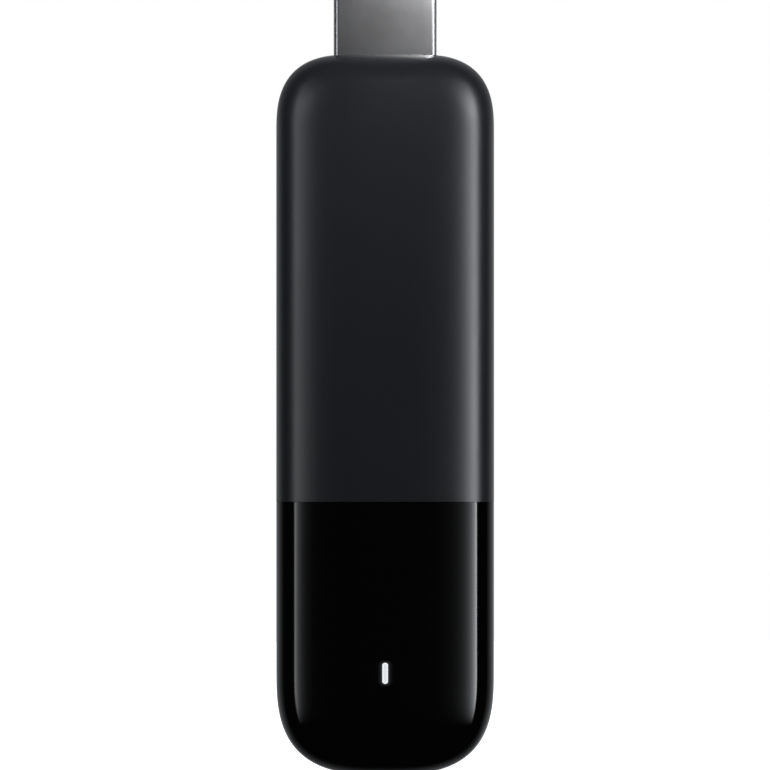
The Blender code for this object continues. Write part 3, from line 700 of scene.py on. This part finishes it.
def make_light_pipe():
    bm = bmesh.new()
    half_x, half_z = LIGHT_WIDTH / 2, LIGHT_HEIGHT / 2
    low = (-half_x, LIGHT_FACE_Y, LIGHT_Z - half_z)
    high = (half_x, LIGHT_FACE_Y + 3 * WALL, LIGHT_Z + half_z)
    add_block(bm, low, high, 1, half_x * PILL_ROUNDING, PILL_STEPS)
    pipe = add_piece("light_pipe_lens", bm, "light_guide", "light_pipe")
    soften(pipe, EDGE / 2)


# ---------------------------------------------------------------- plug


def rounded(corners, radius, steps):
    """A polygon's outline with arcs of the given radius for corners, and its long sides divided."""
    points = []
    count = len(corners)
    for index, corner in enumerate(corners):
        corner = Vector(corner)
        before = (Vector(corners[index - 1]) - corner).normalized()
        after = (Vector(corners[(index + 1) % count]) - corner).normalized()
        half = before.angle(after) / 2
        reach = radius / math.tan(half)
        centre = corner + (before + after).normalized() * radius / math.sin(half)
        start = corner + before * reach - centre
        turn = math.pi - 2 * half
        for step in range(steps + 1):
            angle = -turn * step / steps
            cos, sin = math.cos(angle), math.sin(angle)
            turned = (start.x * cos - start.y * sin, start.x * sin + start.y * cos)
            points.append(centre + Vector(turned))
    divided = []
    for index, point in enumerate(points):
        after = points[(index + 1) % len(points)]
        divided.append(point)
        if (after - point).length > radius:
            for part in range(1, PLUG_SIDE_STEPS):
                divided.append(point.lerp(after, part / PLUG_SIDE_STEPS))
    return divided


def plug_ring(margin, z):
    """The plug's section at one height: wide to the front, slanted corners to the back.

    Its faces are a little crowned.
    """
    half, deep = PLUG_HALF, PLUG_DEEP
    slant = Vector((deep - PLUG_SLANT_Y, half - PLUG_NARROW_HALF)).normalized()
    reach = slant[0] * half + slant[1] * PLUG_SLANT_Y - margin
    half -= margin
    deep -= margin
    corner = (half, (reach - slant[0] * half) / slant[1])
    narrow = ((reach - slant[1] * deep) / slant[0], deep)
    left = [(-narrow[0], narrow[1]), (-corner[0], corner[1]), (-half, -deep)]
    corners = [(half, -deep), corner, narrow] + left
    radius = max(PLUG_CORNER - margin, PLUG_CORNER / 4)
    points = []
    for x, y in rounded(corners[::-1], radius, PLUG_CORNER_STEPS):
        fall = PLUG_CROWN * (x / PLUG_HALF) ** 2 * y / PLUG_DEEP
        points.append((x, y - fall, z))
    return points


def make_plug_shell():
    """The formed sheet: a butt seam and two latch windows on the narrow side, and a rounded mouth."""
    low_z, high_z = PLUG_LOW.z, PLUG_HIGH.z
    lead = PLUG_SHEET / 2
    rings = [plug_ring(0.0, low_z), plug_ring(0.0, high_z - PLUG_LEAD_IN)]
    rings.append(plug_ring(lead * LEAD_IN_START, high_z - PLUG_LEAD_IN / 2))
    for step in range(MOUTH_STEPS + 1):
        angle = math.pi * step / MOUTH_STEPS
        inset = lead + PLUG_SHEET / 2 * (1 - math.cos(angle))
        rings.append(plug_ring(inset, high_z - PLUG_SHEET / 2 * (1 - math.sin(angle))))
    rings.append(plug_ring(PLUG_SHEET + lead * LEAD_IN_START, high_z - PLUG_LEAD_IN / 2))
    rings.append(plug_ring(PLUG_SHEET, high_z - PLUG_LEAD_IN))
    rings.append(plug_ring(PLUG_SHEET, low_z))
    bm = bmesh.new()
    loops = [[bm.verts.new(point) for point in points] for points in rings]
    join_loops(bm, loops + loops[:1])
    shell = add_piece("plug_shell_formed", bm, "plated_steel", "plug_shell")

    half_x, half_z = LATCH_SIZE[0] / 2, LATCH_SIZE[1] / 2
    windows = []
    for way in (-1, 1):
        x = way * LATCH_X
        low = (x - half_x, PLUG_DEEP / 2, LATCH_Z - half_z)
        windows.append((low, (x + half_x, 2 * PLUG_DEEP, LATCH_Z + half_z), 1, half_x / 3))
    cut(shell, windows)
    low = (-PLUG_SEAM / 2, PLUG_DEEP / 2, 2 * low_z)
    cut(shell, [(low, (PLUG_SEAM / 2, 2 * PLUG_DEEP, 2 * high_z), None, 0)])
    soften(shell, PLUG_EDGE, segments=2, angle=60)
    return shell


# ---------------------------------------------------------------- the CAD parts that stay


def finish_cad_parts():
    """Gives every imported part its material, and softer edges to those that aren't replaced."""
    replaced = {"front_cover", "front_cap", "back_cover", "light_pipe", "plug_shell"}
    for row in frame["record"]["subparts"]:
        node = frame["nodes"][row["node"]]
        node.data.materials.clear()
        node.data.materials.append(MATERIALS[row["material_slot"]])
        if row["node"] not in replaced:
            soften(node, INNER_EDGE, segments=2)


# ---------------------------------------------------------------- studio


def strip_light(nodes, azimuth, side, edge, fade, strength, blur):
    """A tall soft light whose far edge is sharp and which fades towards the camera."""
    turned = nodes.math("MULTIPLY", azimuth, side)
    short = nodes.math("DIVIDE", nodes.math("SUBTRACT", turned, edge), fade)
    level = nodes.math("MULTIPLY", nodes.math("EXPONENT", short), strength)
    inside = nodes.spread(turned, edge - blur, edge + blur, 1.0, 0.0, smooth=True)
    return nodes.math("MULTIPLY", level, inside)


def fill_light(nodes, azimuth, centre, width, strength):
    """A soft light round one direction."""
    away = nodes.math("DIVIDE", nodes.math("SUBTRACT", azimuth, centre), width)
    squared = nodes.math("MULTIPLY", away, away)
    falloff = nodes.math("EXPONENT", nodes.math("MULTIPLY", squared, -1.0))
    return nodes.math("MULTIPLY", falloff, strength)


def window(nodes, z, low, high):
    """1 between two heights and 0 beyond them, with soft ends."""
    rise = nodes.spread(z, *low, 0.0, 1.0, smooth=True)
    return nodes.math("MULTIPLY", rise, nodes.spread(z, *high, 1.0, 0.0, smooth=True))


def lit_directions(nodes, azimuth, z):
    """The strips and the fills together."""
    strip_window = window(nodes, z, STRIP_LOW, STRIP_HIGH)
    fill_window = window(nodes, z, FILL_LOW, FILL_HIGH)
    total = 0.0
    for make, settings, height in (
        (strip_light, STRIP_RIGHT, strip_window),
        (strip_light, STRIP_LEFT, strip_window),
        (fill_light, FILL_RIGHT, fill_window),
        (fill_light, FILL_LEFT, fill_window),
    ):
        light = nodes.math("MULTIPLY", make(nodes, azimuth, **settings), height)
        total = nodes.math("ADD", total, light)
    return total


def backdrop(nodes, x, y, z):
    """The pale background, dimmer towards the upper corners and low down."""
    right_side = nodes.spread(x, -SIDES_BLEND, SIDES_BLEND, 0.0, 1.0)
    left_side = nodes.math("SUBTRACT", 1.0, right_side)
    halves = []
    for side, ramp in ((left_side, BACKGROUND_LEFT), (right_side, BACKGROUND_RIGHT)):
        level = nodes.spread(y, ramp["start"], ramp["full"], 0.0, ramp["level"])
        halves.append(nodes.math("MULTIPLY", level, side))
    upper = nodes.math("MULTIPLY", nodes.math("ABSOLUTE", x), nodes.math("MAXIMUM", z, 0.0))
    corner = nodes.spread(upper, *CORNER_SPAN, 1.0, CORNER_DIM, smooth=True)
    under = nodes.spread(z, *LOW_SPAN, LOW_DIM, 1.0, smooth=True)
    return nodes.math("MULTIPLY", nodes.math("ADD", *halves), nodes.math("MULTIPLY", corner, under))


def make_world():
    """Lights and background by direction, and plain white where the camera looks past the object.

    Diffuse surfaces get a smaller share of the lights, and a dome over them.
    """
    world = bpy.data.worlds.new("studio")
    bpy.context.scene.world = world
    world.use_nodes = True
    nodes = Nodes(world.node_tree)
    background = world.node_tree.nodes["Background"]
    axes = nodes.add("ShaderNodeSeparateXYZ")
    nodes.link(nodes.add("ShaderNodeTexCoord").outputs["Generated"], axes.inputs["Vector"])
    x, y, z = axes.outputs
    turn = nodes.math("ARCTAN2", x, nodes.math("MULTIPLY", y, -1.0))
    azimuth = nodes.math("MULTIPLY", turn, 180 / math.pi)

    rays = nodes.add("ShaderNodeLightPath").outputs
    share = nodes.spread(rays["Is Diffuse Ray"], 0.0, 1.0, 1.0, DIFFUSE_SHARE)
    lights = nodes.math("MULTIPLY", lit_directions(nodes, azimuth, z), share)
    total = nodes.math("ADD", lights, backdrop(nodes, x, y, z))
    total = nodes.math("ADD", total, AMBIENT)
    dome = nodes.math("MULTIPLY", nodes.spread(z, -1.0, 1.0, *DOME), rays["Is Diffuse Ray"])
    total = nodes.math("ADD", total, dome)

    seen = rays["Is Camera Ray"]
    total = nodes.math("MULTIPLY", total, nodes.math("SUBTRACT", 1.0, seen))
    nodes.link(nodes.math("ADD", total, seen), background.inputs["Strength"])
    nodes.link(nodes.blend(seen, COOL, WHITE), background.inputs["Color"])


def add_area_light(name, place, target, size, power, only=None):
    """A round lamp that lights all and shows in nothing, or that lights and shows in one piece only."""
    data = bpy.data.lights.new(name, "AREA")
    data.shape = "DISK"
    data.size = size
    data.energy = power
    light = bpy.data.objects.new(name, data)
    light.location = place
    light.rotation_euler = (Vector(target) - Vector(place)).to_track_quat("-Z", "Y").to_euler()
    light.visible_camera = False
    light.visible_glossy = only is not None
    bpy.context.scene.collection.objects.link(light)
    if only:
        receivers = bpy.data.collections.new(name + "_receivers")
        receivers.objects.link(only)
        light.light_linking.receiver_collection = receivers


def make_floor():
    bm = bmesh.new()
    bmesh.ops.create_circle(bm, cap_ends=True, segments=96, radius=FLOOR_RADIUS)
    mesh = bpy.data.meshes.new("floor")
    bm.to_mesh(mesh)
    bm.free()
    floor = bpy.data.objects.new("floor", mesh)
    floor.location = (0, 0, CAP_LOW.z - FLOOR_DROP)
    floor.visible_glossy = False
    floor.visible_diffuse = False
    bpy.context.scene.collection.objects.link(floor)
    material, _, shader = new_material("floor_pale")
    shader.inputs["Base Color"].default_value = (*FLOOR_COLOUR, 1)
    shader.inputs["Roughness"].default_value = FLOOR_ROUGHNESS
    shader.inputs["Specular IOR Level"].default_value = 0.0
    shader.inputs["Emission Color"].default_value = (*WHITE, 1)
    shader.inputs["Emission Strength"].default_value = FLOOR_GLOW
    mesh.materials.append(material)


def make_camera():
    data = bpy.data.cameras.new("camera")
    data.lens = LENS
    data.sensor_width = SENSOR
    data.clip_end = CLIP_END
    camera = bpy.data.objects.new("camera", data)
    camera.location = (VIEW_X, -VIEW_HEIGHT * LENS / SENSOR, VIEW_TOP_Z - VIEW_HEIGHT / 2)
    camera.rotation_euler = (math.pi / 2, 0, 0)
    bpy.context.scene.collection.objects.link(camera)
    bpy.context.scene.camera = camera


MATERIALS = make_materials()
make_front_cover()
make_front_cap()
make_back_cover()
make_lip()
make_light_pipe()
plug = make_plug_shell()
finish_cad_parts()
make_world()
add_area_light("top_light", **TOP_LIGHT)
add_area_light("plug_light", **PLUG_LIGHT, only=plug)
make_floor()
make_camera()
bpy.context.scene.view_settings.view_transform = "Standard"
